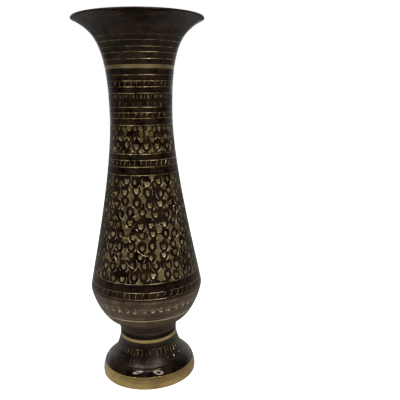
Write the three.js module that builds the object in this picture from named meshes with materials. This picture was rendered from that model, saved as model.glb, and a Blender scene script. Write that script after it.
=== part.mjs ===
// Tall engraved brass vase: a soldered stack of four turned castings.
// Units are millimetres. The vase stands on z = 0 with its axis on +Z.
import * as THREE from 'three';

// Outside sizes, from the floor up.
const FOOT_RADIUS = 41.8;
const FOOT_BAND_HEIGHT = 8;
const FOOT_BAND_TOP_RADIUS = 40.5;
const FOOT_SHOULDER_RADIUS = 34.1;
const FOOT_SHOULDER_HEIGHT = 15.8;
const STEM_RADIUS = 24.9;
const STEM_TOP_RADIUS = 26.2;
const STEM_TOP_HEIGHT = 49.3;
const BELLY_RADIUS = 48.5;
const BELLY_HEIGHT = 82;
const NECK_RADIUS = 26.1;
const NECK_HEIGHT = 228;
const RIM_RADIUS = 53.8;
const HEIGHT = 306;

// Wall thicknesses.
const WALL = 1.8;
const LIP_WALL = 1.6;
const FOOT_WALL = 3.2;
const FLOOR_THICKNESS = 4;

// The three soldered spigot joints.
const SOLDER_GAP = 0.3;
const SOCKET_CLEARANCE = 1; // a socket is this much deeper than its spigot
const JOINT_CHAMFER = 0.4;
const NECK_JOINT = { height: 264, spigotRadius: 25.5, boreRadius: 24, spigotLength: 5 };
const BELLY_JOINT = { height: BELLY_HEIGHT, spigotRadius: 44.8, boreRadius: 43.2, spigotLength: 6 };
const FOOT_JOINT = { height: 38.6, spigotRadius: 20.5, boreRadius: 17, spigotLength: 12 };

// Facets around the axis and along each curve.
const TURNS = 48;
const LONG_CURVE_STEPS = 12;
const CURVE_STEPS = 10;
const SHORT_CURVE_STEPS = 6;

const DARK_LACQUER = { color: 0x2b2622, roughness: 0.38, metalness: 0.35 };
const BROWN_LACQUER = { color: 0x3a322b, roughness: 0.45, metalness: 0.35 };
const FOOT_FINISH = { color: 0x4a3f2b, roughness: 0.35, metalness: 0.6 };

const point = (radius, height) => new THREE.Vector2(radius, height);

// Outer outline, one curve for each swelling. Every curve rises.
const footOvolo = new THREE.CubicBezierCurve(
  point(FOOT_BAND_TOP_RADIUS, FOOT_BAND_HEIGHT),
  point(39.6, 12.5),
  point(36.3, 14.6),
  point(FOOT_SHOULDER_RADIUS, FOOT_SHOULDER_HEIGHT),
);
const footCavetto = new THREE.CubicBezierCurve(
  point(FOOT_SHOULDER_RADIUS, FOOT_SHOULDER_HEIGHT),
  point(30.3, 17.8),
  point(STEM_RADIUS, 29),
  point(STEM_RADIUS, FOOT_JOINT.height - JOINT_CHAMFER),
);
const bowlCurve = new THREE.CubicBezierCurve(
  point(STEM_TOP_RADIUS, STEM_TOP_HEIGHT),
  point(39.3, STEM_TOP_HEIGHT),
  point(BELLY_RADIUS, 76.2),
  point(BELLY_RADIUS, BELLY_HEIGHT),
);
const bodyCurve = new THREE.CubicBezierCurve(
  point(BELLY_RADIUS, BELLY_HEIGHT),
  point(BELLY_RADIUS, 88),
  point(NECK_RADIUS, 178.5),
  point(NECK_RADIUS, NECK_HEIGHT),
);
const FLARE_END = point(19, 9.2); // last handle: the lip ends 26 degrees above level
const lipRise = (LIP_WALL * FLARE_END.x) / FLARE_END.length();
const mouthCurve = new THREE.CubicBezierCurve(
  point(NECK_RADIUS, NECK_HEIGHT),
  point(NECK_RADIUS, 283),
  point(RIM_RADIUS, HEIGHT - lipRise).sub(FLARE_END),
  point(RIM_RADIUS, HEIGHT - lipRise),
);

// Where a rising curve passes one height, found by halving.
function parameterAt(curve, height) {
  const HALVINGS = 40;
  let low = 0;
  let high = 1;
  for (let step = 0; step < HALVINGS; step += 1) {
    const middle = (low + high) / 2;
    if (curve.getPoint(middle).y < height) low = middle;
    else high = middle;
  }
  return (low + high) / 2;
}

// Points along a curve between two parameters, moved `depth` towards the axis side.
function stretch(curve, from, to, steps, depth = 0) {
  const points = [];
  for (let step = 0; step <= steps; step += 1) {
    const t = from + ((to - from) * step) / steps;
    const tangent = curve.getTangent(t);
    const inward = point(-tangent.y, tangent.x).multiplyScalar(depth);
    points.push(curve.getPoint(t).add(inward));
  }
  return points;
}

// One turned casting: an outline swept round the axis.
function turned(name, outline, finish) {
  const geometry = new THREE.LatheGeometry(outline, TURNS);
  const mesh = new THREE.Mesh(geometry, new THREE.MeshStandardMaterial(finish));
  mesh.name = name;
  return mesh;
}

const ring = (outline) => [...outline, outline[0].clone()];

// Flared mouth and upper neck. Its lower end is a socket over the body's spigot.
function mouthFunnel() {
  const { height, spigotRadius, spigotLength } = NECK_JOINT;
  const seam = parameterAt(mouthCurve, height);
  const socketTop = height + spigotLength + SOCKET_CLEARANCE;
  const socketRadius = spigotRadius + SOLDER_GAP;
  const outside = stretch(mouthCurve, seam, 1, CURVE_STEPS);
  const inside = stretch(mouthCurve, seam, 1, CURVE_STEPS, LIP_WALL)
    .filter((p) => p.y > socketTop + SOCKET_CLEARANCE)
    .reverse();
  const socket = [point(socketRadius, socketTop), point(socketRadius, height)];
  return turned('mouth_funnel', ring([...outside, ...inside, ...socket]), DARK_LACQUER);
}

// Long tapering body: a counterbore below for the bowl, a spigot above for the mouth.
function upperBody() {
  const top = NECK_JOINT.height - SOLDER_GAP;
  const bottom = BELLY_JOINT.height + SOLDER_GAP;
  const spigotTop = NECK_JOINT.height + NECK_JOINT.spigotLength;
  const seatRadius = BELLY_JOINT.spigotRadius + SOLDER_GAP;
  const seatTop = BELLY_JOINT.height + BELLY_JOINT.spigotLength + SOCKET_CLEARANCE;
  const outside = [
    ...stretch(bodyCurve, parameterAt(bodyCurve, bottom), 1, LONG_CURVE_STEPS),
    ...stretch(mouthCurve, 0, parameterAt(mouthCurve, top), SHORT_CURVE_STEPS).slice(1),
  ];
  const spigot = [
    point(NECK_JOINT.spigotRadius, top),
    point(NECK_JOINT.spigotRadius, spigotTop),
    point(NECK_JOINT.boreRadius, spigotTop),
  ];
  const inside = stretch(bodyCurve, 0, 1, LONG_CURVE_STEPS, WALL)
    .filter((p) => p.x < seatRadius)
    .reverse();
  const seat = [point(seatRadius, seatTop), point(seatRadius, bottom)];
  return turned('upper_body', ring([...outside, ...spigot, ...inside, ...seat]), DARK_LACQUER);
}

// Round bowl with the vessel's floor: a spigot above, a hollow spigot below.
function lowerBowl() {
  const bottom = FOOT_JOINT.height + SOLDER_GAP;
  const spigotBottom = bottom - FOOT_JOINT.spigotLength;
  const rimTop = BELLY_JOINT.height + BELLY_JOINT.spigotLength;
  const inside = stretch(bowlCurve, 1 / CURVE_STEPS, 1, CURVE_STEPS - 1, WALL)
    .filter((p) => p.x < BELLY_JOINT.boreRadius)
    .reverse();
  const floorTop = inside[inside.length - 1].y;
  const floorUnderside = floorTop - FLOOR_THICKNESS;
  return turned('lower_bowl', [
    point(0, floorUnderside),
    point(FOOT_JOINT.boreRadius, floorUnderside),
    point(FOOT_JOINT.boreRadius, spigotBottom),
    point(FOOT_JOINT.spigotRadius, spigotBottom),
    point(FOOT_JOINT.spigotRadius, bottom),
    point(STEM_RADIUS - JOINT_CHAMFER, bottom),
    point(STEM_RADIUS, bottom + JOINT_CHAMFER),
    ...stretch(bowlCurve, 0, 1, CURVE_STEPS),
    point(BELLY_JOINT.spigotRadius, BELLY_JOINT.height),
    point(BELLY_JOINT.spigotRadius, rimTop),
    point(BELLY_JOINT.boreRadius, rimTop),
    ...inside,
    point(0, floorTop),
  ], BROWN_LACQUER);
}

// Bell shaped foot, hollow underneath, with the bore that the bowl's spigot enters.
function pedestalFoot() {
  const EDGE_ROUNDING = 0.5;
  const BAND_SWELL = { height: 1.5, top: 4.5, easing: 0.2 };
  const HOLLOW_OVOLO_END = 0.8; // the hollow leaves the offset curves at these parameters
  const HOLLOW_CAVETTO_END = 0.45;
  const boreRadius = FOOT_JOINT.spigotRadius + SOLDER_GAP;
  const boreBottom = FOOT_JOINT.height - FOOT_JOINT.spigotLength - SOCKET_CLEARANCE;
  const cavettoSteps = SHORT_CURVE_STEPS / 2;
  return turned('pedestal_foot', ring([
    point(FOOT_RADIUS - EDGE_ROUNDING, 0),
    point(FOOT_RADIUS, BAND_SWELL.height),
    point(FOOT_RADIUS - BAND_SWELL.easing, BAND_SWELL.top),
    ...stretch(footOvolo, 0, 1, SHORT_CURVE_STEPS),
    ...stretch(footCavetto, 0, 1, SHORT_CURVE_STEPS).slice(1),
    point(STEM_RADIUS - JOINT_CHAMFER, FOOT_JOINT.height),
    point(boreRadius, FOOT_JOINT.height),
    point(boreRadius, boreBottom),
    ...stretch(footCavetto, 0, HOLLOW_CAVETTO_END, cavettoSteps, FOOT_WALL).reverse(),
    ...stretch(footOvolo, 0, HOLLOW_OVOLO_END, SHORT_CURVE_STEPS, FOOT_WALL).reverse(),
    point(FOOT_RADIUS - EDGE_ROUNDING - FOOT_WALL, 0),
  ]), FOOT_FINISH);
}

const vase = new THREE.Group();
vase.rotation.x = Math.PI / 2; // the lathe axis is +Y, the vase's is +Z
vase.add(mouthFunnel(), upperBody(), lowerBowl(), pedestalFoot());

export default vase;
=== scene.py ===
"""Looks of the tall engraved brass vase, built around its four packed castings.

Each casting is a solid of bare brass under a thin skin of lacquer. Turned lines and chisel marks
go through the skin into the brass, as on the real vase, so every mark is geometry. Lengths are
millimetres unless a name says otherwise.
"""

import math
import random
from collections import namedtuple

import bpy
import numpy as np
from mathutils import Matrix, Vector
from mathutils.geometry import delaunay_2d_cdt


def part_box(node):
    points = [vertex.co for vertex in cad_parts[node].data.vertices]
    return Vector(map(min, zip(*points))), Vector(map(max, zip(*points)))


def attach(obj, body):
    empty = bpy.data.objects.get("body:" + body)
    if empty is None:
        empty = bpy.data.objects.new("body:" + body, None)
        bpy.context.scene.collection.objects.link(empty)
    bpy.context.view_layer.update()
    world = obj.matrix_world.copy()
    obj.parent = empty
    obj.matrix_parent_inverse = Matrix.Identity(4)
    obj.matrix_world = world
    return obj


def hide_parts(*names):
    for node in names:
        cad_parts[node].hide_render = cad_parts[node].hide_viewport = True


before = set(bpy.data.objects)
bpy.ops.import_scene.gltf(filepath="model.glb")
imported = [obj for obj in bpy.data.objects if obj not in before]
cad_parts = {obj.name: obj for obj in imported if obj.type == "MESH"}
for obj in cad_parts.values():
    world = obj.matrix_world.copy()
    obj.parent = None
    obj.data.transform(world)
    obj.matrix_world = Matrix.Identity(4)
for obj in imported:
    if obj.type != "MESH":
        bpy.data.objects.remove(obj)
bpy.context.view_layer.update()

MM = 0.001
TURN = 2 * math.pi
COLUMNS = 192  # facets round the axis
SEAM_ANGLE = math.radians(90)  # the meshes start and end at the back
ROW_STEP = 2.6  # plain rows of points up the wall
SKIN = 0.08  # thickness of the lacquer
BRASS_DEPTH = 0.1  # the brass under the lacquer lies this far inside the outline
TONE = "tone"  # how bright the bare brass of a face is, from 0, dirty, to 1, freshly cut
PLAIN_TONE = 0.5
HIDDEN_TONE = 0.0  # of the brass that no drawing covers
TINY = 1e-30  # stands in for a zero that something is divided by
ON_EDGE = 1e-6  # a place less deep in a mark than this is on its edge


# ---- outline of the vase

def corner(node, end):
    """A corner of a CAD node's box in millimetres: end 0 is the lowest, 1 the highest."""
    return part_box(node)[end] / MM


HEIGHT = corner("mouth_funnel", 1).z
RIM_RADIUS = corner("mouth_funnel", 1).x
NECK_JOINT = corner("mouth_funnel", 0).z
BELLY_RADIUS = corner("upper_body", 1).x
FOOT_JOINT = corner("pedestal_foot", 1).z
FOOT_RADIUS = corner("pedestal_foot", 1).x
SOLDER_GAP = 0.3
BELLY_JOINT = corner("upper_body", 0).z - SOLDER_GAP

Spigot = namedtuple("Spigot", "radius bore length")
NECK_SPIGOT = Spigot(25.5, 24, 5)
BELLY_SPIGOT = Spigot(44.8, 43.2, 6)
FOOT_SPIGOT = Spigot(20.5, 17, 12)
SOCKET_CLEARANCE = 1  # a socket is this much deeper than its spigot

WALL = 1.8
LIP_WALL = 1.6
FOOT_WALL = 3.2
FLOOR_THICKNESS = 4
CHAMFER = 0.4
EDGE_ROUNDING = 0.5
BARE_RIM_RISE = 0.07  # the foot's bare rim stands out this far from the brass under the lacquer
STEM_RADIUS = 24.9

# Radius and height where one curve of the outside ends and the next starts.
FOOT_BAND_TOP = (40.5, 8)
FOOT_SHOULDER = (34.1, 15.8)
FOOT_TOP = (STEM_RADIUS, FOOT_JOINT - CHAMFER)
STEM_BOTTOM = (STEM_RADIUS, 39.3)
STEM_TOP = (26.2, 49.3)
BELLY = (BELLY_RADIUS, BELLY_JOINT)
NECK = (26.1, 228)
FLARE_END = (19, 9.2)  # last handle of the mouth's curve
LIP_RISE = LIP_WALL * FLARE_END[0] / math.hypot(*FLARE_END)
RIM = (RIM_RADIUS, HEIGHT - LIP_RISE)

OUTER_CURVES = [
    [(FOOT_RADIUS - EDGE_ROUNDING, 0), (FOOT_RADIUS, 1.5), (FOOT_RADIUS - 0.2, 4.5), FOOT_BAND_TOP],
    [FOOT_BAND_TOP, (39.6, 12.5), (36.3, 14.6), FOOT_SHOULDER],
    [FOOT_SHOULDER, (30.3, 17.8), (STEM_RADIUS, 29), FOOT_TOP],
    [FOOT_TOP, (STEM_RADIUS, 38.6), (STEM_RADIUS, 39), STEM_BOTTOM],
    [STEM_BOTTOM, (25.3, 42.6), (25.8, 46), STEM_TOP],
    [STEM_TOP, (39.3, STEM_TOP[1]), (BELLY_RADIUS, 76.2), BELLY],
    [BELLY, (BELLY_RADIUS, 88), (NECK[0], 178.5), NECK],
    [NECK, (NECK[0], 283), (RIM[0] - FLARE_END[0], RIM[1] - FLARE_END[1]), RIM],
]


class Outline:
    """A curve beside the axis, walked by its length s. Its normal points out of the metal."""

    SAMPLES = 240  # on each curve
    SHORTEST_STEP = 1e-7

    def __init__(self, curves):
        points, normals = [], []
        t = np.linspace(0, 1, self.SAMPLES)[:, None]
        for curve in curves:
            a, b, c, d = (np.array(p, float) for p in curve)
            place = (1 - t) ** 3 * a + 3 * (1 - t) ** 2 * t * b + 3 * (1 - t) * t**2 * c + t**3 * d
            slope = (1 - t) ** 2 * (b - a) + 2 * (1 - t) * t * (c - b) + t**2 * (d - c)
            points.append(place)
            normals.append(np.column_stack([slope[:, 1], -slope[:, 0]]))
        self._store(np.vstack(points), np.vstack(normals))

    def _store(self, points, normals):
        normals = normals / np.linalg.norm(normals, axis=1)[:, None]
        steps = np.linalg.norm(np.diff(points, axis=0), axis=1)
        self.s = np.concatenate([[0], np.cumsum(np.maximum(steps, self.SHORTEST_STEP))])
        self.points, self.normals = points, normals
        self.length = self.s[-1]

    def inside(self, depth, low, high):
        """The same curve moved into the metal and walked the other way, between two lengths."""
        other = object.__new__(Outline)
        s = np.linspace(high, low, 2 * self.SAMPLES)
        r, z, nr, nz = self.at(s)
        other._store(np.column_stack([r - nr * depth, z - nz * depth]), -np.column_stack([nr, nz]))
        return other

    def at(self, s):
        """Radius, height and the two parts of the normal at lengths s."""
        columns = [self.points[:, 0], self.points[:, 1], self.normals[:, 0], self.normals[:, 1]]
        r, z, nr, nz = (np.interp(s, self.s, column) for column in columns)
        size = np.hypot(nr, nz)
        return r, z, nr / size, nz / size

    def at_height(self, z):
        """The length at which a rising curve passes a height."""
        return float(np.interp(z, self.points[:, 1], self.s))

    def radius(self, s):
        return float(np.interp(s, self.s, self.points[:, 0]))

    def point(self, s, depth=0.0):
        """One profile point (radius, height), a depth into the metal."""
        r, z, nr, nz = self.at(s)
        return float(r - nr * depth), float(z - nz * depth)


outer = Outline(OUTER_CURVES)


# ---- chisel marks

class Cut:
    """One mark in the flat drawing of a wall: a closed edge, and a ridge line inside it."""

    def __init__(self, edge, ridge, depth, reach, floor=(), tone=PLAIN_TONE, stroke=False):
        self.edge = np.array(edge, float)
        self.tone = tone
        self.stroke = stroke  # a stroke goes deeper than whatever it crosses, and keeps its tone
        self.ridge = list(ridge)
        self.depth = depth
        self.reach = reach  # the depth is full this far inside the edge
        self.floor = list(floor)  # (x, s, share of the depth) of single points on a rough floor
        self.low = self.edge.min(0)
        self.high = self.edge.max(0)

    def depth_at(self, x, s):
        """Depths at flat points, 0 outside the edge."""
        start = self.edge
        along = np.roll(start, -1, axis=0) - start
        px, ps = x[:, None] - start[:, 0], s[:, None] - start[:, 1]
        rising = along[:, 1]
        spans = (ps >= 0) != (ps - rising >= 0)
        share = ps / np.where(rising == 0, TINY, rising)
        inside = (spans & (px < along[:, 0] * share)).sum(1) % 2 == 1
        nearest = ((px * along[:, 0] + ps * rising) / (along**2).sum(1)).clip(0, 1)
        gap = np.hypot(px - nearest * along[:, 0], ps - nearest * rising).min(1)
        return np.where(inside, self.depth * np.minimum(1, gap / self.reach), 0)


# A turned V line, a little uneven round the wall, and a turned strip with a flat floor.
Ring = namedtuple("Ring", "s half_width depth phases tone")
Band = namedtuple("Band", "low high depth slope tone")
WAVES = (3, 7, 16, 31)  # how often the width of a turned line swells in one turn
WAVE_HEIGHT = 0.14  # share of the width


class Drawing:
    """The flat drawing of one wall: x is the turn about the axis times a reference radius."""

    RADII = 9  # the reference radius is the mean of this many
    MARGIN = 0.3  # a mark keeps this far from the wall's ends and from the seam
    TULIP = (1.75, 2.3)  # half width and half height of a mark of size 1
    TEARDROP = (1.35, 2.3)

    def __init__(self, outline, low, high, seed):
        self.outline, self.low, self.high = outline, low, high
        places = np.linspace(low, high, self.RADII)
        self.reference = np.interp(places, outline.s, outline.points[:, 0]).mean()
        self.width = TURN * self.reference
        self.random = random.Random(seed)
        self.cuts, self.rings, self.bands = [], [], []

    def stretch(self, s):
        """Flat widths are true widths times this."""
        return self.reference / self.outline.radius(s)

    def spots(self, s, pitch, shift=0.0):
        """Flat x of evenly spaced marks round the wall at s."""
        number = round(TURN * self.outline.radius(s) / pitch)
        return [((i + 0.5 + shift) / number % 1) * self.width for i in range(number)]

    def ring(self, s, width=0.46, depth=0.14, tone=PLAIN_TONE):
        """A turned V line."""
        phases = [self.random.uniform(0, TURN) for _ in WAVES]
        self.rings.append(Ring(s, width / 2, depth, phases, tone))

    def band(self, low, high, depth=0.05, slope=0.2, tone=PLAIN_TONE):
        """A turned strip of bare brass with a flat floor."""
        self.bands.append(Band(low, high, depth, slope, tone))

    def add(self, x, s, points, ridge, depth, reach, lean, jitter=0.0, **more):
        """Adds a mark given in true millimetres about (x, s), turned by lean."""
        cos, sin = math.cos(lean), math.sin(lean)
        stretch = self.stretch(s)

        def flat(p):
            px = p[0] + self.random.uniform(-jitter, jitter)
            py = p[1] + self.random.uniform(-jitter, jitter)
            return x + (px * cos - py * sin) * stretch, s + px * sin + py * cos

        edge = [flat(p) for p in points]
        inner = [flat(p) for p in ridge]
        self.keep(Cut(edge, inner, depth, reach, **more))

    def keep(self, cut):
        """Adds a mark, unless it would cross the seam or an end of the wall."""
        inside = cut.low[0] > self.MARGIN and cut.high[0] < self.width - self.MARGIN
        above = cut.low[1] > self.low + self.MARGIN
        if inside and above and cut.high[1] < self.high - self.MARGIN:
            self.cuts.append(cut)

    def stroke(self, x, s, path, half_width, lean, tone):
        """A chisel stroke along a path, with pointed ends."""
        STEEP = 0.55  # depth over half width
        BLUNT = 0.35  # share of the width that is lost towards the ends
        left, right = [], []
        for i, (px, py) in enumerate(path[1:-1], start=1):
            dx = path[i + 1][0] - path[i - 1][0]
            dy = path[i + 1][1] - path[i - 1][1]
            size = math.hypot(dx, dy)
            swell = half_width * (1 - BLUNT * abs(2 * i / (len(path) - 1) - 1))
            left.append((px - dy / size * swell, py + dx / size * swell))
            right.append((px + dy / size * swell, py - dx / size * swell))
        edge = [path[0], *right, path[-1], *left[::-1]]
        depth = half_width * STEEP
        self.add(x, s, edge, path[1:-1], depth, half_width * 0.9, lean, tone=tone, stroke=True)

    def line(self, x, s, length, half_width, lean, tone, bow=0.1):
        """A short stroke, nearly straight, centred on (x, s)."""
        rise = length / 2
        path = [(0, -rise), (bow * 0.5, -0.35 * rise), (bow, 0.4 * rise), (0, rise)]
        self.stroke(x, s, path, half_width, lean, tone)

    # ---- the marks this engraver uses

    def tick(self, x, s, height, slant):
        """A slanted cut from one turned line across the next."""
        dice = self.random
        length = height * dice.uniform(0.85, 1.3)
        lean = -math.radians(slant + dice.uniform(-6, 6))
        bow = dice.uniform(-0.3, 0.3)
        tone = dice.uniform(0.4, 0.95)
        rise = dice.uniform(0.1, 0.8)
        half_width = dice.uniform(0.15, 0.25)
        self.line(x, s + rise, length, half_width, lean, tone, bow)

    def tulip(self, x, s, size, lean):
        """A round-bottomed gouge with two or three points on top."""
        half, rise = (extent * size for extent in self.TULIP)
        edge = [
            (0, -rise), (0.62 * half, -0.84 * rise), (0.95 * half, -0.3 * rise),
            (half, 0.25 * rise), (0.8 * half, rise), (0.38 * half, 0.42 * rise),
            (0, 0.72 * rise), (-0.36 * half, 0.4 * rise), (-0.86 * half, 0.95 * rise),
            (-half, 0.2 * rise), (-0.93 * half, -0.32 * rise), (-0.6 * half, -0.86 * rise),
        ]
        ridge = [(0, -0.42 * rise), (0.05 * half, 0.2 * rise)]
        tone = self.random.triangular(0.04, 0.9, 0.2)
        self.add(x, s, edge, ridge, 0.36, 0.9 * size, lean, 0.12, tone=tone)

    def teardrop(self, x, s, size, lean=0.0, brightest=0.5):
        """An oval gouge with a pointed tail."""
        half, rise = (extent * size for extent in self.TEARDROP)
        edge = [
            (0, -rise), (0.55 * half, -0.55 * rise), (half, 0.1 * rise), (0.75 * half, 0.72 * rise),
            (0, rise), (-0.75 * half, 0.7 * rise), (-half, 0.08 * rise), (-0.5 * half, -0.58 * rise),
        ]
        ridge = [(0, -0.3 * rise), (0, 0.35 * rise)]
        tone = self.random.uniform(0.0, brightest)
        self.add(x, s, edge, ridge, 0.34 * size, 0.8 * size, lean, 0.12, tone=tone)

    def dot(self, x, s, size, tone):
        """A small four-sided punch mark."""
        edge = [(0, -size), (size * 0.85, 0), (0, size), (-size * 0.85, 0)]
        self.add(x, s, edge, [(0, 0)], size * 0.4, size * 0.7, 0, size * 0.18, tone=tone)


# Dark ovals of the leopard pattern: half width and half height of the skin left round a gouge.
OVAL = (3.75, 4.75)
OVAL_RISE = 0.35  # the oval sits this much above its gouge


class Ovals:
    """The dark ovals of one panel, and the ground between them."""

    FAR = 9.0  # clearances beyond this are not told apart
    GRID = 0.6  # the ground is searched in steps of this

    def __init__(self, drawing, low, high):
        self.drawing, self.low, self.high = drawing, low, high
        self.ovals = []  # flat middle, half width and half height of each

    def row(self, s, pitch, shift, gouge):
        """One row of ovals, each with its gouge."""
        drawing = self.drawing
        dice = drawing.random
        for x in drawing.spots(s, pitch, shift):
            px = x + dice.uniform(-1.5, 1.5)
            ps = s + dice.uniform(-1.9, 1.9)
            a = OVAL[0] * drawing.stretch(s) * dice.uniform(0.88, 1.16)
            b = OVAL[1] * dice.uniform(0.88, 1.12)
            self.ovals.append((px, ps + OVAL_RISE, a, b))
            gouge(px, ps)

    def clearance(self, x, s):
        """How far flat points are outside every oval, roughly, in millimetres."""
        best = np.full(len(x), self.FAR)
        for ox, os, a, b in self.ovals:
            scaled = np.hypot((x - ox) / a, (s - os) / b)
            best = np.minimum(best, (scaled - 1) * b)
        return np.minimum(best, np.minimum(s - self.low, self.high - s))

    def reach(self, x, s, angle, limit):
        """Distance from a point in a direction to the nearest oval or to the panel's edge."""
        dx, ds = math.cos(angle), math.sin(angle)
        best = limit
        if ds:
            ahead = self.high if ds > 0 else self.low
            best = min(best, (ahead - s) / ds)
        for ox, os, a, b in self.ovals:
            if abs(ox - x) > limit + a or abs(os - s) > limit + b:
                continue
            px, ps = (x - ox) / a, (s - os) / b
            qx, qs = dx / a, ds / b
            aa, bb, cc = qx * qx + qs * qs, px * qx + ps * qs, px * px + ps * ps - 1
            inner = bb * bb - aa * cc
            if inner > 0 and bb < 0:
                best = min(best, (-bb - math.sqrt(inner)) / aa)
        return best

    def ground(self, share, spacing, smallest, longest):
        """Cuts away part of the ground between the ovals, down to a stippled floor."""
        across = np.arange(self.GRID, self.drawing.width, self.GRID)
        gx, gs = np.meshgrid(across, np.arange(self.low, self.high, self.GRID))
        gx, gs = gx.ravel(), gs.ravel()
        clear = self.clearance(gx, gs)
        while clear.max() > smallest:
            best = int(clear.argmax())
            x, s = float(gx[best]), float(gs[best])
            clear[np.hypot(gx - x, gs - s) < spacing] = 0
            if self.drawing.random.random() < share:
                self.patch(x, s, longest)

    def patch(self, x, s, longest):
        """One star-shaped patch of ground that follows the ovals round it."""
        RAYS = 14
        LAND = 0.2  # lacquer left between the patch and an oval
        SHORTEST = 0.45
        SLOPE = 0.22  # from the edge in to the floor
        INNERMOST = 0.2
        STIPPLED = 1.3  # a longer ray has an uneven point on the floor
        DEPTH = 0.15
        edge, floor = [], []
        dice = self.drawing.random

        def along(angle, distance):
            return x + math.cos(angle) * distance, s + math.sin(angle) * distance

        for i in range(RAYS):
            angle = TURN * (i + dice.uniform(-0.25, 0.25)) / RAYS
            reach = self.reach(x, s, angle, longest * dice.uniform(0.75, 1.1)) - LAND
            reach = max(reach, SHORTEST)
            edge.append(along(angle, reach))
            floor.append((*along(angle, max(reach - SLOPE, INNERMOST)), 1.0))
            if reach > STIPPLED:
                place = along(angle, reach * dice.uniform(0.45, 0.65))
                floor.append((*place, dice.uniform(0.35, 1.3)))
        self.drawing.keep(Cut(edge, [], DEPTH, SLOPE, floor, tone=dice.uniform(0.0, 0.2)))

    def scallops(self, share, chisel_share):
        """Fine bright curves that follow the ovals, and short chisel strokes beside them."""
        drawing = self.drawing
        dice = drawing.random
        for ox, os, _, _ in self.ovals:
            for side in (-1, 1):
                if dice.random() < share:
                    first = dice.choice([52, 30, 6])
                    turns = [math.radians(first - step) for step in (0, 22, 44, 66, 88)]
                    wide, tall = OVAL[0] + 0.3, OVAL[1] + 0.35
                    path = [(side * wide * math.cos(v), tall * math.sin(v)) for v in turns]
                    half_width = dice.uniform(0.13, 0.22)
                    drawing.stroke(ox, os, path, half_width, lean=0, tone=dice.uniform(0.6, 1))
                if dice.random() < chisel_share:
                    lean = side * math.radians(dice.uniform(20, 52))
                    x = ox + side * 3.1 * drawing.stretch(os)
                    length = dice.uniform(2.6, 5.0)
                    drawing.line(x, os - 3.4, length, dice.uniform(0.2, 0.34), -lean, tone=1.0)


# ---- the pattern of each casting

def tick_band(drawing, low, high, pitch):
    """Two turned lines with ticks between them, in runs of upright and of slanted ones."""
    drawing.ring(low)
    drawing.ring(high)
    middle = (low + high) / 2
    dice = drawing.random
    runs, phase = dice.choice([3, 4, 5]), dice.uniform(0, TURN)
    for x in drawing.spots(middle, pitch):
        slant = 17 + 15 * math.sin(x / drawing.width * TURN * runs + phase)
        drawing.tick(x + dice.uniform(-0.9, 0.9), middle, high - low, slant)


def draw_mouth(drawing):
    """Five turned lines, a wide bare ring, and specks where the lacquer has flaked."""
    SPECKS = 320
    at = drawing.outline.at_height
    for z, width in ((272.1, 0.44), (277.0, 0.46), (281.0, 0.4), (285.5, 0.42), (289.4, 0.3)):
        drawing.ring(at(z), width, depth=width * 0.3)
    drawing.band(at(NECK_JOINT + 1), at(267.9))
    dice = drawing.random
    front = drawing.width / 2
    for _ in range(SPECKS):
        x = dice.gauss(front - 8, 30)
        s = at(dice.uniform(268.5, 299))
        drawing.dot(x % drawing.width, s, dice.uniform(0.14, 0.3), dice.uniform(0.0, 0.4))


def draw_body(drawing):
    """From the belly up: ticks, the leopard panel, ticks, the small panel, ticks, petals, ticks."""
    TICK_BANDS = ((83.7, 89.0, 5.6), (188.3, 193.5, 4.3), (226.6, 231.0, 5.0), (251.0, 255.5, 5.0))
    PANEL = (95.9, 181.7)
    SMALL_PANEL = (198.5, 221.2)
    PETALS = (235.3, 246.1)
    TOP_LINE = 260.1
    ROWS = 10
    EDGE = 0.5  # the ovals' ground starts this far inside a panel's lines
    at = drawing.outline.at_height
    dice = drawing.random
    for bottom, top, pitch in TICK_BANDS:
        tick_band(drawing, at(bottom), at(top), pitch)
    for z in (*PANEL, *SMALL_PANEL, *PETALS, TOP_LINE):
        drawing.ring(at(z))

    def gouge(x, s):
        lean = math.radians(dice.uniform(-9, 9))
        kind = drawing.tulip if dice.random() < 0.62 else drawing.teardrop
        kind(x, s, dice.uniform(0.88, 1.12), lean)

    low, high = (at(z) for z in PANEL)
    pitch = (high - low - 2) / ROWS
    panel = Ovals(drawing, low + EDGE, high - EDGE)
    for row in range(ROWS):
        panel.row(low + 1 + pitch * (row + 0.5), 9.2, dice.random(), gouge)
    panel.ground(share=0.72, spacing=4.6, smallest=0.8, longest=3.4)
    panel.scallops(share=0.8, chisel_share=0.6)
    long_curves(drawing, low, high, number=84)

    low, high = (at(z) for z in SMALL_PANEL)
    small = Ovals(drawing, low + EDGE, high - EDGE)
    small.row(low + 7.4, pitch=8.6, shift=0, gouge=gouge)
    small.ground(share=0.55, spacing=4.8, smallest=0.9, longest=2.5)
    small.scallops(share=0.6, chisel_share=0.6)
    hanging_marks(drawing, high, pitch=5.0, size=1.0)
    standing_lines(drawing, low + 11.8, pitch=3.1, shortest=1.8, longest=4.4)
    for x in drawing.spots(low, 7.2, 0.3):
        drawing.teardrop(x, low + 1.9, dice.uniform(0.5, 0.7))
    standing_lines(drawing, low + 0.4, pitch=5.2, shortest=1.2, longest=3.0)
    chevrons(drawing, low + 12.2, pitch=8.6)

    hanging_marks(drawing, at(PETALS[1]), pitch=5.8, size=0.9)
    standing_lines(drawing, at(235.5), pitch=5.8, shortest=3.4, longest=5.4)


def long_curves(drawing, low, high, number):
    """Long fine scratched curves that sweep across a panel."""
    dice = drawing.random
    for _ in range(number):
        x, s = dice.uniform(10, drawing.width - 10), dice.uniform(low + 6, high - 6)
        radius, lean, sweep = dice.uniform(7, 16), dice.uniform(-0.9, 0.9), dice.uniform(18, 38)
        turns = np.radians(np.linspace(-sweep, sweep, 7))
        path = [(radius * math.sin(v), radius * (1 - math.cos(v))) for v in turns]
        drawing.stroke(x, s, path, dice.uniform(0.13, 0.18), lean, tone=dice.uniform(0.75, 1))


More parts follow.
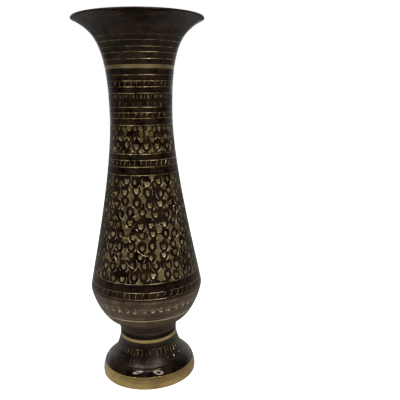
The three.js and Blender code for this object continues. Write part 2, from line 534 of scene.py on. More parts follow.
def hanging_marks(drawing, top, pitch, size):
    """Small dull gouges that hang from a line, with fine lines between them."""
    GAP = 0.7  # between the line and the marks
    dice = drawing.random
    for x in drawing.spots(top, pitch):
        px = x + dice.uniform(-0.5, 0.5)
        part = size * dice.uniform(0.7, 0.9)
        upside_down = math.radians(180 + dice.uniform(-9, 9))
        middle = top - GAP - drawing.TEARDROP[1] * part
        drawing.teardrop(px, middle, part, upside_down, brightest=0.35)
        length = size * dice.uniform(2.8, 4.4)
        between = x + pitch / 2 * drawing.stretch(top)
        lean = math.radians(dice.uniform(-8, 8))
        half_width = dice.uniform(0.15, 0.24)
        drawing.line(between, top - GAP - length / 2, length, half_width, lean, tone=0.7)


def standing_lines(drawing, bottom, pitch, shortest, longest):
    """Fine strokes that stand on a line."""
    dice = drawing.random
    for x in drawing.spots(bottom, pitch, 0.4):
        length = dice.uniform(shortest, longest)
        lean = math.radians(dice.uniform(-7, 7))
        half_width = dice.uniform(0.17, 0.26)
        tone = dice.uniform(0.4, 0.9)
        drawing.line(x, bottom + length / 2, length, half_width, lean, tone=tone)


def chevrons(drawing, s, pitch):
    """Pairs of bright strokes that lean together like a roof."""
    dice = drawing.random
    for x in drawing.spots(s, pitch):
        if dice.random() < 0.55:
            for side in (-1, 1):
                offset = side * 1.6 * drawing.stretch(s)
                lean = side * math.radians(dice.uniform(32, 44))
                drawing.line(x + offset, s, dice.uniform(3.0, 4.4), 0.3, lean, tone=1.0)


def draw_bowl(drawing):
    """A faint line, two loose rows of punch marks, one broad line, and grooves underneath."""
    PITCH = 7.1
    DOTS = 7  # in the lower row, under each mark of the upper one
    at = drawing.outline.at_height
    dice = drawing.random
    drawing.ring(at(77.2), width=0.34, depth=0.1)
    drawing.band(at(61.3), at(62.5), depth=0.08, slope=0.3, tone=1.0)
    for z, width in ((56.6, 0.4), (54.1, 0.4), (52.0, 0.4), (46.4, 0.34), (42.4, 0.34)):
        drawing.ring(at(z), width, depth=0.1, tone=0.3)
    upper, lower = at(75.0), at(71.6)
    for x in drawing.spots(upper, PITCH):
        lean = math.radians(dice.uniform(-50, -10))
        drawing.line(x, upper, dice.uniform(1.6, 2.4), 0.3, lean, tone=1.0)
        for _ in range(DOTS):
            px, ps = dice.uniform(-1.8, 1.8), dice.uniform(-1.1, 1.1)
            drawing.dot(x + px * drawing.stretch(lower), lower + ps, dice.uniform(0.4, 0.85), 1.0)
    for x in drawing.spots(lower, PITCH, 0.5):
        lean = math.radians(dice.uniform(-15, 15))
        drawing.line(x, lower - 0.3, dice.uniform(1.6, 2.4), 0.26, lean, tone=1.0)


def draw_foot(drawing):
    """Rings on the stem, hanging strokes, two fine lines, and the bare rim."""
    at = drawing.outline.at_height
    dice = drawing.random
    drawing.band(at(34.1), at(36.9), tone=0.8)
    for z, width in ((28.6, 0.36), (17.7, 0.36), (14.8, 0.32)):
        drawing.ring(at(z), width, depth=width * 0.3, tone=0.5)
    drawing.band(-1, at(10.3), depth=-BARE_RIM_RISE, slope=0.15, tone=0.9)
    top = at(28.0)
    for x in drawing.spots(top, 3.3):
        px = x + dice.uniform(-0.5, 0.5)
        length = dice.uniform(4.2, 7.4)
        half_width, tone = dice.choice([(0.6, 0.75), (0.45, 0.9), (0.28, 1.0), (0.22, 0.8)])
        lean = math.radians(dice.uniform(-7, 7))
        drawing.line(px, top - length / 2, length, half_width, lean, tone, bow=0.3)
        if dice.random() < 0.6:
            short = dice.uniform(2.0, 3.6)
            lean = math.radians(dice.uniform(-25, 10))
            fine = dice.uniform(0.22, 0.32)
            drawing.line(px + 1.6, top - 7.2 - short / 2, short, fine, lean, tone=tone)


# ---- from drawings to meshes

class Net:
    """The flat triangles of one wall: where they are, how deep, and which are bare brass."""

    SWELL = 1.6  # a turned line is nowhere wider than this many times its mean width
    RING_ROOM = 0.3  # plain rows keep this far from a turned line
    BAND_ROOM = 0.4
    MERGE = 1e-5  # flat points nearer than this become one
    SLIVER = 1e-9  # square millimetres; triangles of less than half this are dropped
    SEAM_REACH = 1e-4  # points this near the seam are on it
    SEAM_DIGITS = 4  # the two sides of the seam are matched by lengths rounded to this

    def __init__(self, drawing):
        self.drawing = drawing
        self.xs = np.linspace(0, drawing.width, COLUMNS + 1)
        self.flat, self.share, self.edges = [], [], []
        for ring in drawing.rings:
            half = self.ring_half_width(ring, self.xs)
            for offset in (-half, 0 * half, half):
                self.row(ring.s + offset)
        for band in drawing.bands:
            for s in (band.low, band.low + band.slope, band.high - band.slope, band.high):
                if drawing.low < s < drawing.high:
                    self.row(self.xs * 0 + s)
        self.plain_rows()
        for cut in drawing.cuts:
            self.outline_cut(cut)
        self.triangulate()

    def ring_half_width(self, ring, x):
        """A turned line's half width at flat places x."""
        angle = x / self.drawing.width * TURN
        wave = sum(np.sin(angle * k + phase) for k, phase in zip(WAVES, ring.phases))
        return ring.half_width * (1 + WAVE_HEIGHT * wave)

    def point(self, x, s, share=1.0):
        self.flat.append((float(x), float(s)))
        self.share.append(share)
        return len(self.flat) - 1

    def row(self, s):
        """A constrained line of points right round the wall."""
        first = len(self.flat)
        for x, height in zip(self.xs, s):
            self.point(x, height)
        self.edges += [(i, i + 1) for i in range(first, first + COLUMNS)]

    def plain_rows(self):
        """Rows of loose points that carry the wall's curve, left out where something is cut."""
        drawing = self.drawing
        number = math.ceil((drawing.high - drawing.low) / ROW_STEP)
        rows = np.linspace(drawing.low, drawing.high, number + 1)
        self.row(self.xs * 0 + rows[0])
        self.row(self.xs * 0 + rows[-1])
        busy = [(ring.s, ring.half_width * self.SWELL + self.RING_ROOM) for ring in drawing.rings]
        busy += [(s, self.BAND_ROOM) for band in drawing.bands for s in (band.low, band.high)]
        for s in rows[1:-1]:
            if all(abs(s - centre) > gap for centre, gap in busy):
                column = self.xs * 0 + s
                free = self.cut_depth(self.xs, column)[0] == 0
                for i in np.flatnonzero(free):
                    self.point(self.xs[i], s)

    def outline_cut(self, cut):
        edge = [self.point(x, s) for x, s in cut.edge]
        self.edges += list(zip(edge, edge[1:] + edge[:1]))
        ridge = [self.point(x, s) for x, s in cut.ridge]
        if cut.stroke:
            ridge = [edge[0], *ridge, edge[len(edge) // 2]]
        self.edges += list(zip(ridge, ridge[1:]))
        for x, s, share in cut.floor:
            self.point(x, s, share)

    def cut_depth(self, x, s):
        """Depth of the deepest chisel mark at flat points, and its tone."""
        order = np.argsort(x, kind="stable")
        sorted_x = x[order]
        depth, tone = np.zeros(len(x)), np.full(len(x), PLAIN_TONE)
        for cut in self.drawing.cuts:
            first, last = np.searchsorted(sorted_x, [cut.low[0], cut.high[0]])
            near = order[first:last]
            near = near[(s[near] >= cut.low[1]) & (s[near] <= cut.high[1])]
            if len(near):
                here = cut.depth_at(x[near], s[near])
                if cut.stroke:
                    here += np.where(here > 0, depth[near], 0)
                deeper = here > depth[near]
                depth[near[deeper]] = here[deeper]
                tone[near[deeper]] = cut.tone
        return depth, tone

    def turned_depth(self, x, s):
        """Depth of the turned lines and bands, where they bare the brass, and their tone."""
        depth, bare = np.zeros(len(x)), np.zeros(len(x), bool)
        tone = np.full(len(x), PLAIN_TONE)
        for ring in self.drawing.rings:
            inside = 1 - np.abs(s - ring.s) / self.ring_half_width(ring, x)
            bare |= inside > ON_EDGE
            tone[inside > ON_EDGE] = ring.tone
            depth = np.maximum(depth, ring.depth * inside.clip(0, 1))
        for band in self.drawing.bands:
            inside = (np.minimum(s - band.low, band.high - s) / band.slope).clip(0, 1)
            bare |= inside > ON_EDGE
            tone[inside > ON_EDGE] = band.tone
            depth = np.where(inside > 0, band.depth * inside, depth)
        return depth, bare, tone

    def triangulate(self):
        """Fills the drawing with triangles that keep to every edge, and marks the bare ones."""
        vertices = [Vector(p) for p in self.flat]
        whole_hull, keep_sources = 0, True
        made = delaunay_2d_cdt(vertices, self.edges, [], whole_hull, self.MERGE, keep_sources)
        places, _, triangles, sources = made[:4]
        flat = np.array([self.flat[o[0]] if o else tuple(p) for p, o in zip(places, sources)])
        share = np.array([self.share[o[0]] if o else 1.0 for o in sources])
        x, s = flat[:, 0], flat[:, 1]
        triangles = np.array([list(t) for t in triangles])
        a, b, c = (flat[triangles[:, i]] for i in range(3))
        area = (b[:, 0] - a[:, 0]) * (c[:, 1] - a[:, 1]) - (c[:, 0] - a[:, 0]) * (b[:, 1] - a[:, 1])
        triangles = triangles[np.abs(area) > self.SLIVER]
        turned_over = area[np.abs(area) > self.SLIVER] < 0
        triangles[turned_over] = triangles[turned_over][:, ::-1]
        centre = flat[triangles].mean(1)
        chiselled, chisel_tone = self.cut_depth(centre[:, 0], centre[:, 1])
        _, bare, turned_tone = self.turned_depth(centre[:, 0], centre[:, 1])
        self.chiselled = chiselled > ON_EDGE
        self.bare = self.chiselled | bare
        self.tone = np.where(self.chiselled, chisel_tone, turned_tone)
        turned, cut = self.turned_depth(x, s)[0], self.cut_depth(x, s)[0]
        self.depth = np.where(turned < 0, turned, np.maximum(turned, cut * share))
        self.turn, self.s = x / self.drawing.reference, s
        self.triangles = self.close_seam(x, s, triangles)

    def close_seam(self, x, s, triangles):
        """Makes the last column of points the first one."""
        keys = [round(length, self.SEAM_DIGITS) for length in s]
        first = {keys[i]: i for i in np.flatnonzero(x < self.SEAM_REACH)}
        joined = np.arange(len(x))
        for i in np.flatnonzero(x > self.drawing.width - self.SEAM_REACH):
            joined[i] = first[keys[i]]
        return joined[triangles]

    def places(self, depth):
        """Points in metres, a depth into the metal."""
        r, z, nr, nz = self.drawing.outline.at(self.s)
        radius = r - nr * depth
        angle = self.turn + SEAM_ANGLE
        x, y = radius * np.cos(angle), radius * np.sin(angle)
        return np.column_stack([x, y, z - nz * depth]) * MM

    def normals(self):
        """The smooth wall's normals at the points."""
        _, _, nr, nz = self.drawing.outline.at(self.s)
        angle = self.turn + SEAM_ANGLE
        return np.column_stack([nr * np.cos(angle), nr * np.sin(angle), nz])


def face_normals(points, faces):
    a, b, c = (points[faces[:, i]] for i in range(3))
    normal = np.cross(b - a, c - a)
    return normal / np.maximum(np.linalg.norm(normal, axis=1), TINY)[:, None]


class Solid:
    """A closed mesh under construction, in which every face corner has its own normal."""

    WELD = 1e-7  # metres; points nearer than this become one

    def __init__(self):
        self.points, self.faces, self.corner_normals, self.tones = [], [], [], []
        self.total = 0

    def add(self, points, faces, corner_normals, tones=None):
        self.points.append(points)
        self.faces += (faces + self.total).tolist()
        self.corner_normals += corner_normals.tolist()
        self.tones += [PLAIN_TONE] * len(faces) if tones is None else tones.tolist()
        self.total += len(points)

    def wall(self, net):
        """The brass wall under a net: smooth where turned, faceted where chiselled."""
        points = net.places(BRASS_DEPTH + net.depth)
        facets = face_normals(points, net.triangles)
        angle = np.arctan2(points[:, 1], points[:, 0])
        middle = points[net.triangles].mean(1)
        middle_angle = np.arctan2(middle[:, 1], middle[:, 0])
        outward = facets[:, 0] * np.cos(middle_angle) + facets[:, 1] * np.sin(middle_angle)
        around = angle[net.triangles]
        rise = np.broadcast_to(facets[:, 2:3], around.shape)
        outward = outward[:, None]
        turned = np.stack([outward * np.cos(around), outward * np.sin(around), rise], axis=2)
        turned /= np.linalg.norm(turned, axis=2)[:, :, None]
        corners = np.where(net.chiselled[:, None, None], facets[:, None, :], turned)
        smooth = ~net.bare
        corners[smooth] = net.normals()[net.triangles[smooth]]
        self.add(points, net.triangles, corners, net.tone)

    def lathe(self, profile, smooth_below=35):
        """Strips swept round the axis through profile points, with the metal on the left.

        Corners of fewer degrees than smooth_below are shaded smooth.
        """
        profile = np.array(profile, float)
        steps = np.diff(profile, axis=0)
        flat = np.column_stack([steps[:, 1], -steps[:, 0]])
        flat /= np.linalg.norm(flat, axis=1)[:, None]
        limit = math.cos(math.radians(smooth_below))
        angle = np.linspace(0, TURN, COLUMNS + 1) + SEAM_ANGLE
        spin = np.column_stack([np.cos(angle), np.sin(angle)])
        for i, (start, end) in enumerate(zip(profile, profile[1:])):
            before = flat[i - 1] if i > 0 and flat[i - 1] @ flat[i] > limit else flat[i]
            after = flat[i + 1] if i + 1 < len(flat) and flat[i + 1] @ flat[i] > limit else flat[i]
            points, normals = [], []
            for (r, z), (nr, nz) in ((start, before + flat[i]), (end, after + flat[i])):
                size = math.hypot(nr, nz)
                rise = np.full(COLUMNS + 1, nz / size)
                points.append(np.column_stack([spin * r, np.full(COLUMNS + 1, z)]) * MM)
                normals.append(np.column_stack([spin * nr / size, rise]))
            points, normals = np.vstack(points), np.vstack(normals)
            first = np.arange(COLUMNS)
            above = first + COLUMNS + 1
            quads = np.column_stack([first, first + 1, above + 1, above])
            self.add(points, quads, normals[quads], np.full(COLUMNS, HIDDEN_TONE))

    def skin(self, net):
        """The lacquer over a net: a thin closed sheet with its holes walled round."""
        land = net.triangles[~net.bare]
        top, bottom, normals = net.places(0), net.places(SKIN), net.normals()
        self.add(top, land, normals[land])
        self.add(bottom, land[:, ::-1], -normals[land[:, ::-1]])
        ends = np.roll(land, -1, axis=1)
        edges = list(zip(land.ravel().tolist(), ends.ravel().tolist()))
        known = set(edges)
        rim = np.array([(a, b) for a, b in edges if (b, a) not in known])
        both = np.vstack([top, bottom])
        quads = np.column_stack([rim[:, 1], rim[:, 0], rim[:, 0] + len(top), rim[:, 1] + len(top)])
        facing = face_normals(both, quads)
        self.add(both, quads, np.repeat(facing[:, None, :], 4, axis=1))

    def build(self, name, material):
        """Welds the parts together and makes the object."""
        points = np.vstack(self.points)
        rounded = np.round(points / self.WELD)
        _, first, joined = np.unique(rounded, axis=0, return_index=True, return_inverse=True)
        joined = joined.ravel()
        faces, normals, tones = [], [], []
        for face, corners, tone in zip(self.faces, self.corner_normals, self.tones):
            merged = [joined[i] for i in face]
            kept = [k for k in range(len(merged)) if merged[k] != merged[k - 1]]
            if len(kept) > 2:
                faces.append([int(merged[k]) for k in kept])
                normals += [corners[k] for k in kept]
                tones.append(tone)
        used = np.unique([i for face in faces for i in face])
        renumber = np.zeros(len(first), int)
        renumber[used] = np.arange(len(used))
        faces = [[int(renumber[i]) for i in face] for face in faces]
        mesh = bpy.data.meshes.new(name)
        mesh.from_pydata(points[first[used]].tolist(), [], faces)
        mesh.polygons.foreach_set("use_smooth", [True] * len(mesh.polygons))
        mesh.normals_split_custom_set(normals)
        mesh.attributes.new(TONE, "FLOAT", "FACE").data.foreach_set("value", tones)
        mesh.materials.append(material)
        piece = bpy.data.objects.new(name, mesh)
        bpy.context.scene.collection.objects.link(piece)
        return piece


def inner_wall(low, high, wall, steps, keep):
    """Profile points down the inside of a wall, from high to low, those that keep allows."""
    points = [outer.point(s, wall) for s in np.linspace(high, low, steps)]
    return [p for p in points if keep(*p)]


# ---- materials

BLACK = (0.0, 0.0, 0.0)
WHITE = (1.0, 1.0, 1.0)
DIRTY = (0.25, 0.215, 0.155)  # shares of the brass colour that the tones let through
DULL = (0.5, 0.46, 0.41)


def add_node(tree, kind, sockets, **settings):
    """A new shader node: sockets take a value or a link, settings are the node's own."""
    node = tree.nodes.new("ShaderNode" + kind)
    for name, value in settings.items():
        setattr(node, name, value)
    for socket, value in sockets.items():
        if isinstance(value, bpy.types.NodeSocket):
            tree.links.new(value, node.inputs[socket])
        else:
            node.inputs[socket].default_value = value
    return node


class Material:
    """A node material with one Principled shader, built by small steps."""

    def __init__(self, name, **sockets):
        self.material = bpy.data.materials.new(name)
        self.material.use_nodes = True
        self.tree = self.material.node_tree
        self.shader = self.tree.nodes["Principled BSDF"]
        self.place = self.node("TexCoord", {}).outputs["Object"]
        for socket, value in sockets.items():
            self.shader.inputs[socket.replace("_", " ")].default_value = value

    def node(self, kind, sockets, **settings):
        return add_node(self.tree, kind, sockets, **settings)

    def drive(self, socket, value):
        """Links a value to a socket of the shader."""
        self.tree.links.new(value, self.shader.inputs[socket])

    def noise(self, scale, detail=3.0, roughness=0.55):
        """Noise over the object's own space, with a scale per metre on each axis."""
        scales = scale if isinstance(scale, tuple) else (scale,) * 3
        place = self.node("Mapping", {"Vector": self.place, "Scale": scales}).outputs["Vector"]
        sockets = {"Vector": place, "Scale": 1.0, "Detail": detail, "Roughness": roughness}
        return self.node("TexNoise", sockets).outputs["Fac"]

    def ramp(self, value, *stops):
        """Colours at positions along a value."""
        node = self.node("ValToRGB", {"Fac": value})
        elements = node.color_ramp.elements
        while len(elements) < len(stops):
            elements.new(0.5)
        for element, (position, colour) in zip(elements, stops):
            element.position = position
            element.color = (*colour, 1)
        return node.outputs["Color"]

    def mix(self, share, first, second, blend="MIX"):
        """Two colours mixed."""
        SHARE, FIRST, SECOND, MIXED = 0, 6, 7, 2  # the numbers of this node's colour sockets
        sockets = {SHARE: share, FIRST: first, SECOND: second}
        return self.node("Mix", sockets, data_type="RGBA", blend_type=blend).outputs[MIXED]

    def times(self, first, second):
        return self.node("Math", {0: first, 1: second}, operation="MULTIPLY").outputs["Value"]

    def stretch(self, value, from_low, from_high, to_low, to_high):
        """Moves a value from one range to another."""
        source = {"Value": value, "From Min": from_low, "From Max": from_high}
        target = {"To Min": to_low, "To Max": to_high}
        return self.node("MapRange", {**source, **target}).outputs["Result"]

    def over_noise(self, noise, low, high):
        """A value that follows the middle of a noise's range."""
        return self.stretch(noise, 0.3, 0.7, low, high)

    def by_height(self, low, at_low, high, at_high):
        """A value that goes from one number to another between two heights in millimetres."""
        height = self.node("SeparateXYZ", {0: self.place}).outputs["Z"]
        return self.stretch(height, low * MM, high * MM, at_low, at_high)

    def bump(self, *layers):
        """Bumps stacked on each other: (height value, depth in millimetres, strength)."""
        below = {}
        for value, depth, strength in layers:
            sockets = {"Height": value, "Distance": depth * MM, "Strength": strength}
            below = {"Normal": self.node("Bump", {**sockets, **below}).outputs["Normal"]}
        self.drive("Normal", below["Normal"])


def lacquer(name, dark, light, rough, level, streak=0.25, relief=1.0, painted_shade=None, matt=None):
    """Thin near-black lacquer over turned brass: blotches, lathe lines, a soft gloss.

    rough is a pair. painted_shade changes the colour with height, a painted shade, and matt
    changes the roughness with height: each is a low height, the factor there, a high height and
    the factor there.
    """
    m = Material(name, Metallic=0.0, IOR=1.45, Specular_IOR_Level=level)
    m.shader.inputs["Specular Tint"].default_value = (1.0, 0.82, 0.68, 1)
    lathe = m.noise((14, 14, 1100), 2.0)
    tone = m.ramp(m.noise(110, 5.0, 0.65), (0.38, dark), (0.63, light))
    streaks = m.ramp(lathe, (0.4, (1 - streak,) * 3), (0.62, (1 + streak,) * 3))
    colour = m.mix(1.0, tone, streaks, "MULTIPLY")
    # Painted shade: the colour is multiplied by a factor that changes with height.
    if painted_shade:
        colour = m.mix(1.0, colour, m.by_height(*painted_shade), "MULTIPLY")
    m.drive("Base Color", colour)
    gloss = m.over_noise(m.noise(90), *rough)
    m.drive("Roughness", m.times(gloss, m.by_height(*matt)) if matt else gloss)
    m.bump((lathe, 0.03, 0.55 * relief), (m.noise(900, 2.0), 0.02, 0.4 * relief))
    return m.material


def brass(name, deep, bright, patina, rough, grain):
    """Bare brass, dulled unevenly and dirtier in the stippled ground, with fine tool marks."""
    m = Material(name, Metallic=1.0, IOR=1.5)
    lathe = m.noise((20, 20, 1500), 2.0)
    tone = m.ramp(m.noise(120, 4.0), (0.36, deep), (0.64, bright))
    aged = m.mix(m.ramp(m.noise(22), (0.5, BLACK), (0.68, WHITE)), tone, (*patina, 1))
    streaks = m.ramp(lathe, (0.38, (0.8, 0.79, 0.76)), (0.62, WHITE))
    face_tone = m.node("Attribute", {}, attribute_name=TONE).outputs["Fac"]
    cleaned = m.ramp(face_tone, (0.0, DIRTY), (0.5, DULL), (1.0, WHITE))
    m.drive("Base Color", m.mix(1.0, m.mix(1.0, aged, streaks, "MULTIPLY"), cleaned, "MULTIPLY"))
    m.drive("Roughness", m.over_noise(m.noise(260), *rough))
    m.bump((lathe, 0.02, grain), (m.noise(2400, 2.0), 0.03, grain))
    return m.material


body_lacquer = lacquer(
    "body_lacquer", (0.001, 0.0005, 0.0002), (0.02, 0.011, 0.0055),
    rough=(0.2, 0.42), level=0.16,
)
mouth_lacquer = lacquer(
    "mouth_lacquer", (0.0015, 0.0008, 0.0004), (0.028, 0.0145, 0.0075),
    rough=(0.22, 0.42), level=0.17,
)
# The stem under the bowl is painted darker up to 54 mm: painted shade cast by the bowl.
bowl_lacquer = lacquer(
    "bowl_lacquer", (0.046, 0.029, 0.0165), (0.108, 0.071, 0.042),
    rough=(0.34, 0.5), level=0.28, streak=0.5, painted_shade=(48, 0.34, 54, 1.0),
)
foot_lacquer = lacquer(
    "foot_lacquer", (0.002, 0.001, 0.0006), (0.018, 0.0105, 0.0065),
    rough=(0.05, 0.075), level=0.34, relief=0.3, matt=(14.2, 1.0, 16.0, 5.5),
)
cut_brass = brass(
    "cut_brass", (0.59, 0.48, 0.265), (0.79, 0.68, 0.425), patina=(0.52, 0.42, 0.23),
    rough=(0.36, 0.52), grain=0.5,
)
rim_brass = brass(
    "rim_brass", (0.47, 0.345, 0.135), (0.57, 0.425, 0.18), patina=(0.33, 0.2, 0.08),
    rough=(0.32, 0.4), grain=0.1,
)


# ---- the four castings

class Casting:
    """The brass and the lacquer of one CAD node, with the walls that its flat drawings give."""

    def __init__(self, *drawings):
        self.metal, self.film = Solid(), Solid()
        for drawing in drawings:
            net = Net(drawing)
            self.metal.wall(net)
            self.film.skin(net)

    def finish(self, node, brass_material, lacquer_material, lacquer_slot):
        """Builds both pieces, hangs them on the root body and hides the CAD node; lacquer_slot is
        not used.
        """
        brass_looks = (self.metal, "brass", brass_material, "bare_brass")
        lacquer_looks = (self.film, "lacquer", lacquer_material, lacquer_slot)
        for solid, kind, material, slot in (brass_looks, lacquer_looks):
            piece = solid.build(f"{node}_{kind}", material)
            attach(piece, "root")
            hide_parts(node)


def chamfer_film(film, low, high):
    """Lacquer over a chamfer of the foot joint, from its low edge to its high edge."""
    film.lathe([low, high, (high[0] - SKIN, high[1]), (low[0] - SKIN, low[1]), low])


def make_mouth_funnel():
    """Flared mouth: lacquered outside, inside and over the rounded lip."""
    LIP_ROUNDING = 0.5
    LIP_STEPS = 9
    SMOOTH_LIP = 60  # degrees
    INSIDE_START = 2  # the lacquered inside starts this far above the socket
    socket_top = NECK_JOINT + NECK_SPIGOT.length + SOCKET_CLEARANCE
    socket_radius = NECK_SPIGOT.radius + SOLDER_GAP
    low, high = outer.at_height(NECK_JOINT), outer.length - LIP_ROUNDING
    outside = Drawing(outer, low, high, seed=11)
    draw_mouth(outside)
    inner = outer.inside(LIP_WALL, outer.at_height(socket_top + INSIDE_START), high)
    casting = Casting(outside, Drawing(inner, 0, inner.length, seed=12))

    def lip(depth):
        """The rounded lip, a depth under the lacquer's surface, from the outside to the inside."""
        start, end = np.array(outer.point(high, depth)), np.array(inner.point(0, depth))
        tangent = np.array(FLARE_END) / math.hypot(*FLARE_END) * (LIP_ROUNDING - depth)
        middle, across = (start + end) / 2, (start - end) / 2
        turns = np.linspace(0, math.pi, LIP_STEPS)[1:-1]
        rounded = [middle + across * math.cos(t) + tangent * math.sin(t) for t in turns]
        return [start, *rounded, end]

    casting.metal.lathe(lip(BRASS_DEPTH), SMOOTH_LIP)
    over_lip = [*lip(0), *lip(SKIN)[::-1]]
    casting.film.lathe([*over_lip, over_lip[0]], SMOOTH_LIP)
    bottom = inner.point(inner.length, BRASS_DEPTH)
    socket = [(socket_radius, socket_top), (socket_radius, NECK_JOINT)]
    casting.metal.lathe([bottom, *socket, outer.point(low, BRASS_DEPTH)])
    casting.finish("mouth_funnel", cut_brass, mouth_lacquer, "dark_lacquer")


def make_upper_body():
    """Long engraved body, soldered over the bowl's spigot and into the mouth."""
    SEAM_LINE = 0.02  # the solder in the joints is lacquered over, and leaves only this
    low = outer.at_height(BELLY_JOINT + SEAM_LINE)
    high = outer.at_height(NECK_JOINT - SEAM_LINE)
    drawing = Drawing(outer, low, high, seed=21)
    draw_body(drawing)
    casting = Casting(drawing)
    spigot, bore, spigot_length = NECK_SPIGOT
    spigot_top = NECK_JOINT + spigot_length
    seat = BELLY_SPIGOT.radius + SOLDER_GAP
    seat_top = BELLY_JOINT + BELLY_SPIGOT.length + SOCKET_CLEARANCE
    neck = outer.at_height(NECK[1])
    inside = inner_wall(low, neck, WALL, steps=40, keep=lambda r, z: r < seat)
    foot, head = outer.point(low, BRASS_DEPTH), outer.point(high, BRASS_DEPTH)
    casting.metal.lathe([
        head, (spigot, head[1]), (spigot, spigot_top), (bore, spigot_top), *inside,
        (seat, seat_top), (seat, foot[1]), foot,
    ])
    casting.finish("upper_body", cut_brass, body_lacquer, "dark_lacquer")


def make_lower_bowl():
    """Round bowl with the vessel's floor and its two spigots."""
    FLOOR_START = 3.5  # the inside starts this far up the bowl's curve
    low = outer.at_height(FOOT_JOINT + SOLDER_GAP + CHAMFER)
    high = outer.at_height(BELLY_JOINT)
    drawing = Drawing(outer, low, high, seed=31)
    draw_bowl(drawing)
    casting = Casting(drawing)
    rim, bore, rim_height = BELLY_SPIGOT
    spigot, spigot_bore, spigot_length = FOOT_SPIGOT
    rim_top = BELLY_JOINT + rim_height
    spigot_top = FOOT_JOINT + SOLDER_GAP
    spigot_bottom = spigot_top - spigot_length
    start = outer.at_height(STEM_TOP[1]) + FLOOR_START
    inside = inner_wall(start, high, WALL, steps=26, keep=lambda r, z: r < bore)
    floor = inside[-1][1]
    under = floor - FLOOR_THICKNESS
    head, foot = outer.point(high, BRASS_DEPTH), outer.point(low, BRASS_DEPTH)
    chamfer_radius = STEM_RADIUS - CHAMFER
    casting.metal.lathe([
        head, (rim, head[1]), (rim, rim_top), (bore, rim_top), *inside, (0, floor),
    ])
    casting.metal.lathe([
        (0, under), (spigot_bore, under), (spigot_bore, spigot_bottom), (spigot, spigot_bottom),
        (spigot, spigot_top), (chamfer_radius - BRASS_DEPTH, spigot_top), foot,
    ])
    chamfer_film(casting.film, (chamfer_radius, spigot_top), (STEM_RADIUS, spigot_top + CHAMFER))
    casting.finish("lower_bowl", cut_brass, bowl_lacquer, "brown_lacquer")


def make_pedestal_foot():
    """Bell shaped foot, hollow underneath, with a bare brass rim."""
    HOLLOW_TOP = 20  # the hollow follows the outline up to this height of it
    high = outer.at_height(FOOT_JOINT - CHAMFER)
    drawing = Drawing(outer, 0, high, seed=41)
    draw_foot(drawing)
    casting = Casting(drawing)
    bore = FOOT_SPIGOT.radius + SOLDER_GAP
    bore_bottom = FOOT_JOINT - FOOT_SPIGOT.length - SOCKET_CLEARANCE
    hollow_low, hollow_high = (outer.at_height(z) for z in (FOOT_BAND_TOP[1], HOLLOW_TOP))
    hollow = inner_wall(hollow_low, hollow_high, FOOT_WALL, steps=22,
                        keep=lambda r, z: r > bore and z < bore_bottom)
    chamfer_radius = STEM_RADIUS - CHAMFER
    casting.metal.lathe([
        outer.point(high, BRASS_DEPTH), (chamfer_radius - BRASS_DEPTH, FOOT_JOINT),
        (bore, FOOT_JOINT), (bore, bore_bottom), *hollow,
        (FOOT_RADIUS - EDGE_ROUNDING - FOOT_WALL, 0), outer.point(0, BRASS_DEPTH - BARE_RIM_RISE),
    ])
    chamfer_film(casting.film, (STEM_RADIUS, FOOT_JOINT - CHAMFER), (chamfer_radius, FOOT_JOINT))
    casting.finish("pedestal_foot", rim_brass, foot_lacquer, "dark_lacquer")


make_mouth_funnel()
make_upper_body()
make_lower_bowl()
make_pedestal_foot()


# ---- floor, light and camera

def make_floor():
    """A plain pale floor, white to the camera."""
    HALF = 4.0  # metres
    GREY = (0.62, 0.62, 0.61, 1)
    GLOW = 0.98
    corners = [(-HALF, -HALF, 0), (HALF, -HALF, 0), (HALF, HALF, 0), (-HALF, HALF, 0)]
    mesh = bpy.data.meshes.new("floor")
    mesh.from_pydata(corners, [], [(0, 1, 2, 3)])
    m = Material("floor_white", Roughness=0.9, Base_Color=GREY, Emission_Color=(*WHITE, 1))
    seen = m.node("LightPath", {}).outputs["Is Camera Ray"]
    m.drive("Emission Strength", m.times(seen, GLOW))
    mesh.materials.append(m.material)
    floor = bpy.data.objects.new("floor", mesh)
    bpy.context.scene.collection.objects.link(floor)


def make_world():
    """White all round to the eye; as light, bright behind the vase and dim in front of it."""
    BEHIND = (0, 1, -0.6)
    DIM, BRIGHT = 0.05, 0.95
    world = bpy.data.worlds.new("studio")
    world.use_nodes = True
    bpy.context.scene.world = world
    tree = world.node_tree
    direction = add_node(tree, "TexCoord", {}).outputs["Generated"]
    behind = add_node(tree, "VectorMath", {0: direction, 1: BEHIND}, operation="DOT_PRODUCT")
    sockets = {"Value": behind.outputs["Value"], "From Min": -0.1, "From Max": 0.85}
    strength = add_node(tree, "MapRange", {**sockets, "To Min": DIM, "To Max": BRIGHT},
                        interpolation_type="SMOOTHSTEP").outputs["Result"]
    lit = add_node(tree, "Background", {"Color": (*WHITE, 1), "Strength": strength})
    seen = add_node(tree, "Background", {"Color": (*WHITE, 1), "Strength": 1.0})
    camera_ray = add_node(tree, "LightPath", {}).outputs["Is Camera Ray"]
    mixed = add_node(tree, "MixShader", {0: camera_ray, 1: lit.outputs[0], 2: seen.outputs[0]})
    tree.links.new(mixed.outputs[0], tree.nodes["World Output"].inputs["Surface"])


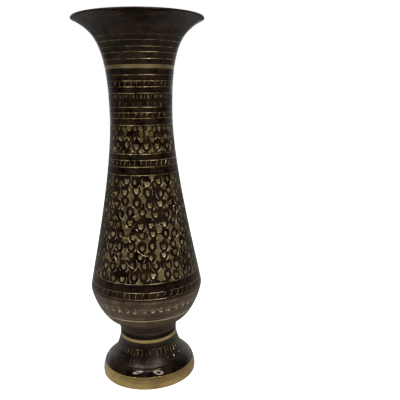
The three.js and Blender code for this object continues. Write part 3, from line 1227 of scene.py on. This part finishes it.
def make_lamp(name, place, aim, size, watts, height=None):
    """An area light that looks at a point: a rectangle if it has a height, else a disk."""
    data = bpy.data.lights.new(name, "AREA")
    data.shape = "RECTANGLE" if height else "DISK"
    data.size = size
    if height:
        data.size_y = height
    data.energy = watts
    lamp = bpy.data.objects.new(name, data)
    lamp.location = place
    lamp.rotation_euler = (Vector(aim) - Vector(place)).to_track_quat("-Z", "Y").to_euler()
    bpy.context.scene.collection.objects.link(lamp)


def make_ring_lamp(name, place, radius, height, watts):
    """A ring of small disk lights round a place, looking at the foot."""
    DISKS = 12
    DISK_SIZE = 0.12
    FOOT = (0, 0, 0.02)
    toward = -Vector(place).normalized()
    across = toward.cross(Vector((0, 0, 1))).normalized()
    up = across.cross(toward)
    for i in range(DISKS):
        angle = TURN * i / DISKS
        spot = Vector(place) + across * radius * math.cos(angle) + up * height * math.sin(angle)
        make_lamp(f"{name}_{i}", spot, FOOT, DISK_SIZE, watts / DISKS)


def make_lights():
    """One wide soft light overhead, and two ring lamps whose highlights show on the foot."""
    make_lamp("overhead", (-0.2, -0.2, 1.6), (0, 0, 0.1), 0.9, watts=3.6, height=0.6)
    make_ring_lamp("ring_left", (-0.434, -0.404, 0.96), radius=0.08, height=0.24, watts=5)
    make_ring_lamp("ring_right", (0.327, -0.602, 0.901), radius=0.12, height=0.34, watts=8)


def make_camera():
    """Slightly above the middle of the vase, 1.4 heights away, the vase left of centre."""
    PLACE = (0, -0.4343, 0.2432)
    SENSOR_WIDTH = 36
    LENS = 45.8
    NEAREST = 0.02  # metres
    YAW, PITCH, ROLL = math.radians(6.3813), math.radians(11.5266), math.radians(-0.6786)
    level = math.cos(PITCH)
    forward = Vector((math.sin(YAW) * level, math.cos(YAW) * level, -math.sin(PITCH)))
    right = Vector((math.cos(YAW), -math.sin(YAW), 0))
    up = right.cross(forward)
    across = right * math.cos(ROLL) + up * math.sin(ROLL)
    upward = up * math.cos(ROLL) - right * math.sin(ROLL)
    data = bpy.data.cameras.new("camera")
    data.sensor_width = SENSOR_WIDTH
    data.lens = LENS
    data.clip_start = NEAREST
    camera = bpy.data.objects.new("camera", data)
    rotation = Matrix((across, upward, -forward)).transposed().to_4x4()
    camera.matrix_world = Matrix.Translation(PLACE) @ rotation
    bpy.context.scene.collection.objects.link(camera)
    bpy.context.scene.camera = camera


make_floor()
make_world()
make_lights()
make_camera()
bpy.context.scene.view_settings.view_transform = "Standard"
